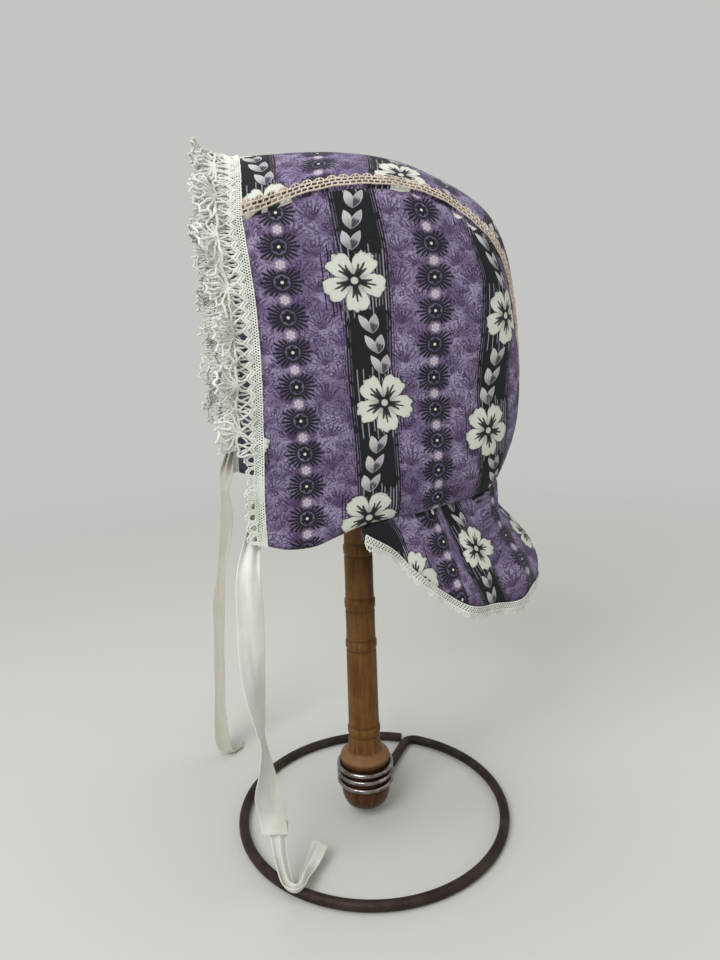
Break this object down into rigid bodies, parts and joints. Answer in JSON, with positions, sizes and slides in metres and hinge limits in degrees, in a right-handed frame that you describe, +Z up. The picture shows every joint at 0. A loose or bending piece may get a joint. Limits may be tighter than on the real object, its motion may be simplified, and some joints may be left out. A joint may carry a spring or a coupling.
{
  "type": "baby cap on display stand",
  "caption": "Baby cap in floral striped cotton with face ruffle, neck curtain and ribbon ties, hung on a wood bobbin that stands in a bent wire ring.",
  "frame": {"origin": "middle of the footprint, on the surface that the wire ring stands on", "axes": "+Z up along the bobbin, -X the way the cap's face opening looks, -Y the wearer's left cheek"},
  "size_m": [0.1896, 0.1664, 0.3456],
  "materials": {
    "printed_cotton": "matt floral striped print",
    "white_lace": "open cotton lace",
    "seam_lace": "narrow ladder lace",
    "ribbon": "fine ribbed ribbon with a soft sheen",
    "bobbin_wood": "worn satin varnish",
    "bobbin_steel": "worn bright steel",
    "base_wire": "matt, browned"
  },
  "bodies": {
    "root": {"side_panel_left": "printed_cotton", "side_panel_right": "printed_cotton", "crown_band": "printed_cotton", "neck_curtain": "printed_cotton", "seam_lace_left": "seam_lace", "seam_lace_right": "seam_lace", "face_heading": "white_lace", "face_ruffle": "white_lace", "cheek_edging_left": "white_lace", "cheek_edging_right": "white_lace", "curtain_lace": "white_lace", "tie_ribbon_left": "ribbon", "tie_ribbon_right": "ribbon", "base_wire": "base_wire", "bobbin": "bobbin_wood", "bobbin_ring_1": "bobbin_steel", "bobbin_ring_2": "bobbin_steel", "bobbin_ring_3": "bobbin_steel"}
  },
  "joints": []
}
